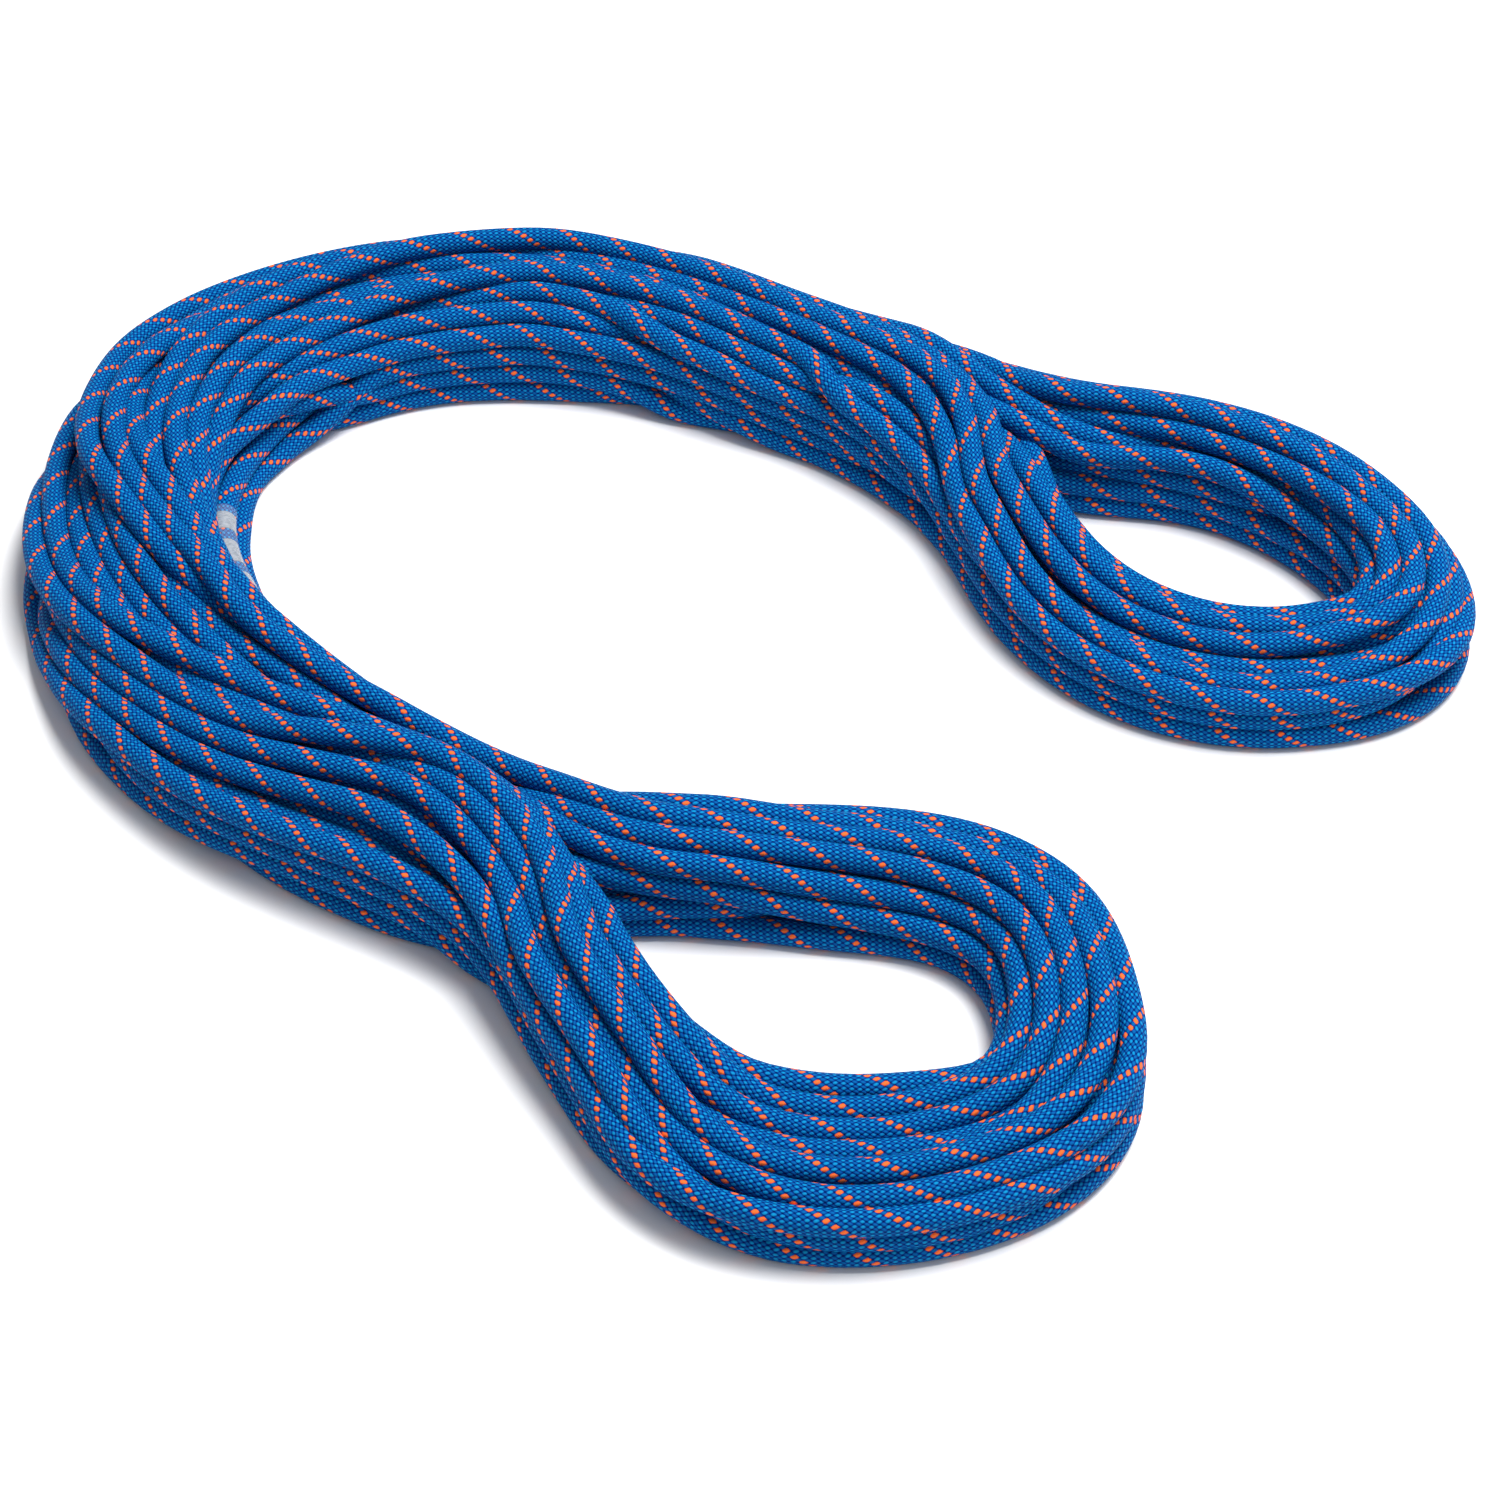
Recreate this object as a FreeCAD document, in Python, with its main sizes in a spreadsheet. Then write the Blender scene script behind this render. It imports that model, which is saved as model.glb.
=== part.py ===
"""A dynamic climbing rope, 8.2 mm thick and 40 m long, lying as a loose hank.

The hank is a ring of turns pressed together along its middle and bent into a C, with an open
loop at each end. It stands for the whole coiled length as one closed solid. Both rope ends
leave it, and each is built as the rope is made: a braided sheath, twelve core strands, a
marker tape, and at the tip a fused end, printed end labels and a clear shrink sleeve.

Millimetres. +Z is up, the rope lies on Z = 0, and the origin is at the middle of its footprint.
"""
import FreeCAD, Part
import math
import os

import Sketcher
from FreeCAD import Placement, Rotation, Vector

UP = Vector(0, 0, 1)

# Driving dimensions: alias, value. Lengths in millimetres, counts as plain numbers.
DIMENSIONS = [
    ("rope_diameter", 8.2),
    ("sheath_wall", 0.75),
    ("strand_diameter", 1.5),
    ("inner_ring_radius", 0.88),
    ("inner_ring_count", 3),
    ("outer_ring_radius", 2.4),
    ("outer_ring_count", 9),
    ("tape_width", 1.0),
    ("tape_thickness", 0.12),
    ("tape_offset", 3.23),
    ("label_wall", 0.15),
    ("sleeve_wall", 0.3),
    ("sleeve_length", 62.0),
    ("tip_length", 3.5),
    ("tip_overhang", 0.15),
    ("tip_rounding", 1.4),
    ("back_width", 75.0),
    ("back_height", 43.0),
    ("leg_width", 42.0),
    ("leg_height", 37.0),
    ("corner_radius", 13.0),
    ("channel_gap", 0.2),
]

# Middle line of the hank's back, where both legs of the ring lie pressed together.
BACK_ROUTE = [
    (-105, -73), (-140, -48), (-168, -14), (-190, 24), (-202, 66), (-199, 108), (-179, 147),
    (-146, 174), (-107, 187), (-64, 187), (-20, 173), (22, 149),
]
# Middle lines of the legs round the two end loops. Both ends of each lie within the back.
FAR_LOOP_ROUTE = [
    (0, 184), (48, 150), (85, 127), (120, 113), (160, 104), (195, 83), (217, 53),
    (219, 23), (200, -3), (165, -12), (135, -2), (113, 21), (100, 48), (88, 75),
    (70, 101), (40, 129), (-5, 149),
]
NEAR_LOOP_ROUTE = [
    (-148, -9), (-122, -35), (-80, -62), (-40, -85), (5, -97), (50, -103), (83, -117),
    (99, -147), (93, -182), (65, -210), (25, -217), (-13, -197), (-37, -165), (-57, -132),
    (-90, -102), (-130, -77),
]

# Each free rope end, from where it leaves the hank to its tip. The labelled end lies in the
# inner side of the left bend, and the other one on the ground along the outer side of the top.
END_ROUTES = {
    "labelled_end": [
        (-122, 163, 14), (-147, 143, 13), (-164, 116, 12), (-172, 87, 12),
        (-170, 60, 12), (-160, 36, 12), (-150, 17, 12),
    ],
    "plain_end": [
        (66, 150, 4.7), (36, 181, 4.7), (0, 206, 4.7), (-37, 222, 4.7),
        (-78, 229, 4.7), (-118, 226, 4.7), (-154, 211, 4.7),
    ],
}
# Printed labels under each clear sleeve: start and length, from the sleeve's inner end.
LABELS = [(4.0, 9.0), (19.0, 12.5), (37.5, 21.0)]

ARC_SHARE = 0.45    # of the shorter of two runs, taken up by the arc between them


# ---------------------------------------------------------------- document and dimensions

def make_sheet(doc):
    """The spreadsheet of driving dimensions, one alias for each."""
    sheet = doc.addObject("Spreadsheet::Sheet", "dimensions")
    for row, (alias, value) in enumerate(DIMENSIONS, start=1):
        sheet.set(f"A{row}", alias)
        sheet.set(f"B{row}", str(value))
        sheet.setAlias(f"B{row}", alias)
    doc.recompute()
    return sheet


def bind(obj, prop, formula):
    """Ties one property to the sheet. Names in curly brackets are the sheet's aliases."""
    obj.setExpression(prop, formula.replace("{", "dimensions.").replace("}", ""))


# ---------------------------------------------------------------- routes

def points_of(route, height=None):
    """The route's corners as vectors, all at one height where the route has none."""
    return [Vector(*p) if height is None else Vector(p[0], p[1], height) for p in route]


def route_wire(corners):
    """Straight runs joined by tangent arcs, each as large as its two runs allow."""
    edges, radii, at = [], [], corners[0]
    for before, corner, after in zip(corners, corners[1:], corners[2:]):
        into, out = corner - before, after - corner
        reach = ARC_SHARE * min(into.Length, out.Length)
        half_turn = into.getAngle(out) / 2
        radius = reach / math.tan(half_turn)
        into.normalize()
        out.normalize()
        inward = out - into
        inward.normalize()
        start, end = corner - into * reach, corner + out * reach
        middle = corner + inward * (radius / math.cos(half_turn) - radius)
        edges.append(Part.LineSegment(at, start).toShape())
        edges.append(Part.Arc(start, middle, end).toShape())
        radii.append(radius)
        at = end
    edges.append(Part.LineSegment(at, corners[-1]).toShape())
    return Part.Wire(edges), radii


def stretch_of(wire, begin, end):
    """The part of a wire between two distances along it."""
    pieces, done = [], 0.0
    for edge in wire.Edges:
        low, high = max(begin - done, 0.0), min(end - done, edge.Length)
        if high - low > 1e-6:
            first = edge.getParameterByLength(low)
            last = edge.getParameterByLength(high)
            pieces.append(edge.Curve.toShape(first, last))
        done += edge.Length
    return Part.Wire(pieces)


def add_path(doc, name, wire):
    """A wire in the document, for sweeps to follow."""
    path = doc.addObject("Part::Feature", name)
    path.Shape = wire
    return path


def start_frame(wire, side=0.0, rise=0.0):
    """A placement at the wire's start: Z along it, Y up, and X level, to its right."""
    edge = wire.Edges[0]
    along = edge.tangentAt(edge.FirstParameter)
    level = along.cross(UP)
    level.normalize()
    upright = level.cross(along)
    turn = Rotation(level, upright, along, "ZXY")
    base = edge.valueAt(edge.FirstParameter) + level * side + upright * rise
    return Placement(base, turn)


# ---------------------------------------------------------------- sections and sweeps

def circle_section(doc, name, placement, radius_formula):
    circle = doc.addObject("Part::Circle", name)
    bind(circle, "Radius", radius_formula)
    circle.Placement = placement
    return circle


def rounded_section(doc, name, placement, width, height, rounding):
    """A sketch of a rectangle with rounded corners, its sizes bound to the sheet."""
    sketch = doc.addObject("Sketcher::SketchObject", name)
    half_w, half_h, r = 20.0, 12.0, 5.0
    corners = [(half_w, half_h), (-half_w, half_h), (-half_w, -half_h), (half_w, -half_h)]
    sides = []
    for (x, y), (next_x, next_y) in zip(corners, corners[1:] + corners[:1]):
        step_x, step_y = math.copysign(r, next_x - x), math.copysign(r, next_y - y)
        step_x, step_y = (step_x, 0) if y == next_y else (0, step_y)
        begin = Vector(x + step_x, y + step_y, 0)
        end = Vector(next_x - step_x, next_y - step_y, 0)
        sides.append(sketch.addGeometry(Part.LineSegment(begin, end), False))
    arcs = []
    for index, (x, y) in enumerate(corners):
        centre = Vector(x - math.copysign(r, x), y - math.copysign(r, y), 0)
        circle = Part.Circle(centre, UP, r)
        quarter = index * math.pi / 2
        arc = Part.ArcOfCircle(circle, quarter, quarter + math.pi / 2)
        arcs.append(sketch.addGeometry(arc, False))
    for index in range(4):
        # An arc starts on the side before its corner and ends on the side after it.
        sketch.addConstraint(
            Sketcher.Constraint("Tangent", sides[index - 1], 2, arcs[index], 1)
        )
        sketch.addConstraint(Sketcher.Constraint("Tangent", arcs[index], 2, sides[index], 1))
    for index, direction in enumerate(("Horizontal", "Vertical") * 2):
        sketch.addConstraint(Sketcher.Constraint(direction, sides[index]))
    for index in (1, 2, 3):
        sketch.addConstraint(Sketcher.Constraint("Equal", arcs[0], arcs[index]))
    named = [
        ("rounding", Sketcher.Constraint("Radius", arcs[0], r), rounding),
        ("right", Sketcher.Constraint("DistanceX", -1, 1, sides[3], 1, half_w), f"{width} / 2"),
        ("left", Sketcher.Constraint("DistanceX", sides[1], 1, -1, 1, half_w), f"{width} / 2"),
        ("top", Sketcher.Constraint("DistanceY", -1, 1, sides[0], 1, half_h), f"{height} / 2"),
        ("base", Sketcher.Constraint("DistanceY", sides[2], 1, -1, 1, half_h), f"{height} / 2"),
    ]
    for label, constraint, formula in named:
        number = sketch.addConstraint(constraint)
        sketch.renameConstraint(number, label)
        bind(sketch, f"Constraints.{label}", formula)
    sketch.Placement = placement
    return sketch


def sweep(doc, name, section, path):
    """A solid made by carrying one section along a path."""
    made = doc.addObject("Part::Sweep", name)
    made.Sections = [section]
    made.Spine = (path, [f"Edge{n + 1}" for n in range(len(path.Shape.Edges))])
    made.Solid = True
    made.Frenet = False
    return made


def round_sweep(doc, name, path, radius_formula, side=0.0, rise=0.0):
    frame = start_frame(path.Shape, side, rise)
    section = circle_section(doc, name + "_section", frame, radius_formula)
    return sweep(doc, name, section, path)


def tube(doc, name, path, outer_formula, inner_formula):
    """A hollow round sweep."""
    outer = round_sweep(doc, name + "_outside", path, outer_formula)
    bore = round_sweep(doc, name + "_bore", path, inner_formula)
    made = doc.addObject("Part::Cut", name)
    made.Base, made.Tool = outer, bore
    return made


def joined(doc, name, shapes):
    made = doc.addObject("Part::MultiFuse", name)
    made.Shapes = shapes
    return made


# ---------------------------------------------------------------- the rope's pieces

def make_core_strands(doc, sheet, end, path):
    """Three strands in the middle and nine round them, each a sub-part of its own."""
    rings = [
        (int(sheet.inner_ring_count), sheet.inner_ring_radius, 90.0),
        (int(sheet.outer_ring_count), sheet.outer_ring_radius, 110.0),
    ]
    strands = []
    for count, radius, first_angle in rings:
        for n in range(count):
            angle = math.radians(first_angle + 360.0 * n / count)
            name = f"{end}_core_strand_{len(strands) + 1:02d}"
            side, rise = radius * math.cos(angle), radius * math.sin(angle)
            strands.append(round_sweep(doc, name, path, "{strand_diameter} / 2", side, rise))
    return strands


def make_marker_tape(doc, end, path):
    """The flat strip inside the sheath that carries the maker's year mark on a real rope."""
    frame = start_frame(path.Shape)
    plane = doc.addObject("Part::Plane", f"{end}_marker_tape_section")
    bind(plane, "Length", "{tape_width}")
    bind(plane, "Width", "{tape_thickness}")
    plane.Placement = frame
    bind(plane, "Placement.Base.x", f"{frame.Base.x} - {{tape_width}} / 2 * {level_x(frame)}")
    bind(plane, "Placement.Base.y", f"{frame.Base.y} - {{tape_width}} / 2 * {level_y(frame)}")
    bind(plane, "Placement.Base.z", f"{frame.Base.z} - {{tape_offset}} - {{tape_thickness}} / 2")
    return sweep(doc, f"{end}_marker_tape", plane, path)


def level_x(frame):
    return frame.Rotation.multVec(Vector(1, 0, 0)).x


def level_y(frame):
    return frame.Rotation.multVec(Vector(1, 0, 0)).y


def make_labels(doc, end, wire, sleeve_begin):
    """The printed film bands under the clear sleeve, as one sub-part of separate solids."""
    bands = []
    for number, (begin, length) in enumerate(LABELS, start=1):
        at = sleeve_begin + begin
        path = add_path(doc, f"{end}_label_path_{number}", stretch_of(wire, at, at + length))
        bands.append(tube(
            doc, f"{end}_label_{number}", path,
            "{rope_diameter} / 2 + {label_wall}", "{rope_diameter} / 2",
        ))
    made = doc.addObject("Part::Compound", f"{end}_printed_labels")
    made.Links = bands
    return made


def make_sleeve(doc, end, wire, sleeve_begin):
    """The clear shrink sleeve over the labels, which ends at the fused tip."""
    path = add_path(doc, f"{end}_sleeve_path", stretch_of(wire, sleeve_begin, wire.Length))
    return tube(
        doc, f"{end}_clear_sleeve", path,
        "{rope_diameter} / 2 + {label_wall} + {sleeve_wall}",
        "{rope_diameter} / 2 + {label_wall}",
    )


def make_tip(doc, end, wire):
    """The fused end, where sheath and core are melted together into a rounded cap."""
    last = wire.Edges[-1]
    along = last.tangentAt(last.LastParameter)
    disc = doc.addObject("Part::Cylinder", f"{end}_tip_blank")
    bind(disc, "Radius", "{rope_diameter} / 2 + {tip_overhang}")
    bind(disc, "Height", "{tip_length}")
    disc.Placement = Placement(last.valueAt(last.LastParameter), Rotation(UP, along))
    doc.recompute()
    outer_edge = max(
        range(len(disc.Shape.Edges)),
        key=lambda n: (
            isinstance(disc.Shape.Edges[n].Curve, Part.Circle),
            disc.Shape.Edges[n].BoundBox.Center.sub(disc.Placement.Base).dot(along),
        ),
    )
    tip = doc.addObject("Part::Fillet", f"{end}_fused_tip")
    tip.Base = disc
    rounding = dict(DIMENSIONS)["tip_rounding"]
    tip.Edges = [(outer_edge + 1, rounding, rounding)]
    return tip


def make_end(doc, sheet, end, route):
    """All pieces of one free rope end. Gives its path, wire and sub-parts."""
    wire, radii = route_wire(points_of(route))
    print(f"{end}: length {wire.Length:.1f}, radii", [round(r) for r in radii])
    path = add_path(doc, f"{end}_path", wire)
    sleeve_begin = wire.Length - sheet.sleeve_length
    pieces = [tube(
        doc, f"{end}_sheath", path,
        "{rope_diameter} / 2", "{rope_diameter} / 2 - {sheath_wall}",
    )]
    pieces += make_core_strands(doc, sheet, end, path)
    pieces.append(make_marker_tape(doc, end, path))
    pieces.append(make_labels(doc, end, wire, sleeve_begin))
    pieces.append(make_sleeve(doc, end, wire, sleeve_begin))
    pieces.append(make_tip(doc, end, wire))
    return path, wire, pieces


def make_stroke(doc, name, route, width, height):
    """One stroke of the hank: a rounded section carried along its middle line."""
    half_height = dict(DIMENSIONS)[height.strip("{}")] / 2
    wire, _ = route_wire(points_of(route, half_height))
    path = add_path(doc, f"{name}_path", wire)
    section = rounded_section(
        doc, f"{name}_section", start_frame(wire), width, height, "{corner_radius}"
    )
    return sweep(doc, name, section, path)


def make_hank(doc, end_paths):
    """The coiled length as one closed solid, with a channel where each rope end lies in it."""
    strokes = [
        make_stroke(doc, "hank_back", BACK_ROUTE, "{back_width}", "{back_height}"),
        make_stroke(doc, "hank_far_loop", FAR_LOOP_ROUTE, "{leg_width}", "{leg_height}"),
        make_stroke(doc, "hank_near_loop", NEAR_LOOP_ROUTE, "{leg_width}", "{leg_height}"),
    ]
    body = joined(doc, "hank_outside", strokes)
    channel_radius = "{rope_diameter} / 2 + {label_wall} + {sleeve_wall} + {channel_gap}"
    channels = [
        round_sweep(doc, f"{path.Name}_channel", path, channel_radius)
        for path in end_paths
    ]
    made = doc.addObject("Part::Cut", "hank")
    made.Base = body
    made.Tool = joined(doc, "hank_channels", channels)
    return made


# ---------------------------------------------------------------- checks and files

def check_document(doc):
    failed = [o.Name for o in doc.Objects if {"Invalid", "Error"} & set(o.State)]
    if failed:
        raise RuntimeError(f"these objects failed to build: {failed}")


def check_part(part):
    shape = part.Shape
    if shape.isNull() or not shape.isValid() or not shape.Solids:
        raise RuntimeError(f"{part.Label} is not a valid solid")


def check_volume(part, section_area, length):
    expected = section_area * length
    error = part.Shape.Volume / expected - 1
    print(f"{part.Label}: volume {part.Shape.Volume:.1f}, expected {expected:.1f}")
    if abs(error) > 0.01:
        raise RuntimeError(f"{part.Label} has the wrong volume, by {100 * error:.1f}%")


def main():
    doc = FreeCAD.newDocument("climbing_rope")
    sheet = make_sheet(doc)
    parts, paths, wires = [], [], {}
    for end, route in END_ROUTES.items():
        path, wire, pieces = make_end(doc, sheet, end, route)
        paths.append(path)
        wires[end] = wire
        parts += pieces
    parts.insert(0, make_hank(doc, paths))
    for part in parts:
        part.Label = part.Name
    doc.recompute()
    check_document(doc)
    outer = sheet.rope_diameter / 2
    ring_area = math.pi * (outer**2 - (outer - sheet.sheath_wall) ** 2)
    for part in parts:
        check_part(part)
        if part.Name.endswith("_sheath"):
            check_volume(part, ring_area, wires[part.Name[:-len("_sheath")]].Length)
    os.makedirs("parts", exist_ok=True)
    for part in parts:
        part.Shape.exportStep(os.path.join("parts", part.Label + ".step"))
    print("parts written:", len(parts), " hank volume:", round(parts[0].Shape.Volume))


main()
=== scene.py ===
"""Visual model of an 8.2 mm dynamic climbing rope in a loose C-shaped hank.

It is in metres, in the CAD model's frame.
"""

import math

import bmesh
import bpy
import numpy as np
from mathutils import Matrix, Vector


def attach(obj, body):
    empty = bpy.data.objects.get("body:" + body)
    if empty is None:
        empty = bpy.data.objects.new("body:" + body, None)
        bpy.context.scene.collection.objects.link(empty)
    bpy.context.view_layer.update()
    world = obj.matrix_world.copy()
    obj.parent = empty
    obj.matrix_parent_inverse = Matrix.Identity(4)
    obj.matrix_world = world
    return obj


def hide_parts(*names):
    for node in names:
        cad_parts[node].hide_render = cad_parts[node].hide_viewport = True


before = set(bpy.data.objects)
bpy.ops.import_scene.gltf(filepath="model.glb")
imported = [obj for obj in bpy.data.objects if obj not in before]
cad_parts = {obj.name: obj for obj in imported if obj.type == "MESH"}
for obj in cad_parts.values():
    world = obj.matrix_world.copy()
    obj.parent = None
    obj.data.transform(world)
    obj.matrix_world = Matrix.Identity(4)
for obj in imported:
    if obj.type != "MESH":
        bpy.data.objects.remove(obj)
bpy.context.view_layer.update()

ROPE_DIAMETER = 0.0082
RADIUS = ROPE_DIAMETER / 2

# ---------------------------------------------------------------- camera

CAMERA_AT = (0.005, -0.8763, 0.7647)
CAMERA_LOOKS_DOWN = math.radians(42)
SENSOR_WIDTH = 36
FOCAL_LENGTH = 86.9


def add_camera():
    data = bpy.data.cameras.new("camera")
    data.sensor_width = SENSOR_WIDTH
    data.lens = FOCAL_LENGTH
    camera = bpy.data.objects.new("camera", data)
    camera.location = CAMERA_AT
    camera.rotation_euler = (math.pi / 2 - CAMERA_LOOKS_DOWN, 0, 0)
    bpy.context.scene.collection.objects.link(camera)
    bpy.context.scene.camera = camera


add_camera()

# ---------------------------------------------------------------- the rope's line
# The hank is one closed middle line: the C's inner lane, the far loop, the C's outer lane and the near
# loop. A row of points is (x, y, width of the bundle). The turns run round it side by side, change
# places slowly, and are then settled on the floor and on each other.

BACK = (
    (-0.0975, -0.0755, 0.068), (-0.133, -0.0515, 0.075), (-0.1625, -0.0225, 0.077), (-0.1885, 0.021, 0.077),
    (-0.1985, 0.066, 0.075), (-0.198, 0.107, 0.070), (-0.181, 0.146, 0.074), (-0.149, 0.176, 0.076),
    (-0.110, 0.1895, 0.073), (-0.067, 0.1885, 0.066), (-0.022, 0.176, 0.058), (0.012, 0.157, 0.054),
    (0.042, 0.141, 0.051),
)
FAR_LOOP = (
    (0.084, 0.125, 0.038), (0.115, 0.109, 0.035), (0.152, 0.103, 0.034), (0.183, 0.087, 0.033),
    (0.208, 0.061, 0.035), (0.221, 0.032, 0.038), (0.215, 0.007, 0.042), (0.189, -0.003, 0.046),
    (0.160, -0.005, 0.048), (0.135, 0.004, 0.047), (0.116, 0.019, 0.045), (0.102, 0.039, 0.042),
    (0.091, 0.065, 0.038), (0.077, 0.095, 0.037),
)
NEAR_LOOP = (
    (-0.044, -0.088, 0.032), (-0.015, -0.095, 0.035), (0.019, -0.096, 0.040), (0.052, -0.099, 0.043),
    (0.076, -0.108, 0.044), (0.091, -0.126, 0.041), (0.096, -0.150, 0.040), (0.096, -0.174, 0.044),
    (0.085, -0.195, 0.051), (0.061, -0.205, 0.059), (0.038, -0.209, 0.062), (0.014, -0.2075, 0.062),
    (-0.008, -0.198, 0.056), (-0.022, -0.181, 0.045), (-0.042, -0.154, 0.038), (-0.058, -0.124, 0.036),
    (-0.079, -0.106, 0.034),
)
# The two free ends, from where they leave the turns to their tips.
LABELLED_END = (
    (-0.122, 0.163, 0.014), (-0.147, 0.143, 0.013), (-0.164, 0.116, 0.012), (-0.172, 0.087, 0.012),
    (-0.170, 0.060, 0.012), (-0.160, 0.036, 0.012), (-0.150, 0.017, 0.012),
)
PLAIN_END = (
    (0.066, 0.150, 0.0047), (0.036, 0.181, 0.0047), (0.000, 0.206, 0.0047), (-0.037, 0.222, 0.0047),
    (-0.078, 0.229, 0.0047), (-0.118, 0.226, 0.0047), (-0.154, 0.211, 0.0047),
)

SEED = 3
TURNS = 19
STEP = 0.007  # between the control points
RING_POINTS = 500
CORNER_POINTS, GUIDE_SMOOTHINGS = 24, 16  # points from one corner of the middle line to the next, rounds
SEARCH_STATIONS, PIECE_POINTS = 2000, 60
AREA_PER_WIDTH = 0.00148  # of the bundle's section, for two lanes
HIGHEST_RISE = 0.016
# The places of the strands in the bundle's section: rows of (number, height, half width), -1 to 1.
ROWS = ((5, -1.0, 0.85), (5, -0.5, 1.0), (4, 0.0, 1.0), (4, 0.5, 0.9), (3, 1.0, 0.6))
WANDER_ACROSS, WANDER_UP = 0.4, 0.3
SECTION_EDGE, EDGE_SOFTNESS = 1.15, 0.25  # a strand that wanders past the edge is held back softly
WAVE_COUNT, SLOWEST_WAVE, FASTEST_WAVE = 6, 1.0, 3.5  # per turn
# How far the two lanes of the C are turned up on their outer sides: (share of the C, degrees).
TURN_UP = ((0, -45), (0.25, 0), (0.5, 60), (0.75, 80), (1, 45))
BLEND = 0.085  # over which a lane of the C turns into a loop
LIFT = 1.8  # start height over the settled one
CEILING = 2.04  # of the rise: the highest centre of a strand over the lowest
PLAIN_END_SEARCH = 0.06  # how far before the C's outer lane the plain end may leave the turns
END_FADE = 0.20  # over which the turns bend towards the free ends


def unit(v):
    return v / np.linalg.norm(v, axis=-1, keepdims=True)


def smooth_step(x):
    x = np.clip(x, 0, 1)
    return x * x * (3 - 2 * x)


def turned_left(t):
    return np.stack([-t[:, 1], t[:, 0]], 1)


def rounded_ring(corners, per):
    """A smooth closed line through the corners, as a centripetal Catmull-Rom spline."""
    out = []
    for i in range(len(corners)):
        p0, p1, p2, p3 = (corners[(i + k) % len(corners)] for k in (-1, 0, 1, 2))
        a, b, c = (math.sqrt(max(np.linalg.norm(q), 1e-9)) for q in (p1 - p0, p2 - p1, p3 - p2))
        m1 = ((p1 - p0) / a - (p2 - p0) / (a + b) + (p2 - p1) / b) * b
        m2 = ((p2 - p1) / b - (p3 - p1) / (b + c) + (p3 - p2) / c) * b
        u = np.linspace(0, 1, per, endpoint=False)[:, None]
        out.append(
            (2 * u**3 - 3 * u**2 + 1) * p1
            + (u**3 - 2 * u**2 + u) * m1
            + (-2 * u**3 + 3 * u**2) * p2
            + (u**3 - u**2) * m2
        )
    return np.concatenate(out)


class Guide:
    """The closed middle line of the turns. marks are the stations where the C's lanes start and end."""

    def __init__(self):
        back, far, near = np.array(BACK), np.array(FAR_LOOP), np.array(NEAR_LOOP)
        left = turned_left(unit(np.gradient(back[:, :2], axis=0)))
        shift = np.column_stack([left * back[:, 2:] / 4, np.zeros(len(back))])
        lane = back * (1, 1, 0.5)
        corners = np.concatenate([lane - shift, far[::-1], (lane + shift)[::-1], near[::-1]])
        line = rounded_ring(corners, CORNER_POINTS)
        line = np.vstack([line, line[:1]])
        run = np.concatenate([[0], np.cumsum(np.linalg.norm(np.diff(line[:, :2], axis=0), axis=1))])
        n, m = len(back), len(far)
        self.marks = [run[k * CORNER_POINTS] for k in (0, n - 1, n + m, 2 * n + m - 1)]
        self.length = run[-1]
        at = np.arange(RING_POINTS) * self.length / RING_POINTS
        points = np.stack([np.interp(at, run, line[:, k]) for k in range(3)], 1)
        for _ in range(GUIDE_SMOOTHINGS):
            points = 0.5 * points + 0.25 * (np.roll(points, 1, 0) + np.roll(points, -1, 0))
        self.points = points
        self.left = turned_left(unit((np.roll(points, -1, 0) - np.roll(points, 1, 0))[:, :2]))

    def at(self, station):
        """The point, the direction to its left, and half the bundle's width there."""
        x = np.mod(station, self.length) / self.length * RING_POINTS
        i = np.floor(x).astype(int) % RING_POINTS
        f = (x - np.floor(x))[:, None]
        j = (i + 1) % RING_POINTS
        p = self.points[i] * (1 - f) + self.points[j] * f
        return p[:, :2], unit(self.left[i] * (1 - f) + self.left[j] * f), p[:, 2] / 2

    def nearest(self, point, low, high):
        stations = np.linspace(low, high, SEARCH_STATIONS)
        return stations[np.argmin(np.linalg.norm(self.at(stations)[0] - point[:2], axis=1))]


def through(values, t):
    """A smooth curve through the values, which stand at t = 0, 1, 2 and so on."""
    last = len(values) - 1
    t = np.clip(t, 0, last - 1e-9)
    i = np.floor(t).astype(int)
    f = (t - i)[:, None]
    a, b, c, d = (values[np.clip(i + k, 0, last)] for k in (-1, 0, 1, 2))
    return 0.5 * (2 * b + (c - a) * f + (2 * a - 5 * b + 4 * c - d) * f**2 + (3 * b - a - 3 * c + d) * f**3)


def waves(rng, t):
    out = 0
    for _ in range(WAVE_COUNT):
        out = out + np.sin(2 * math.pi * (rng.uniform(SLOWEST_WAVE, FASTEST_WAVE) * t + rng.uniform()))
    return out * math.sqrt(2 / WAVE_COUNT)


def places():
    """The strands' places in the section, row by row, back and forth."""
    out = []
    for row, (number, up, wide) in enumerate(ROWS):
        across = np.linspace(-wide, wide, number)
        out += [(x, up) for x in (across[::-1] if row % 2 else across)]
    return np.array(out)


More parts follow.
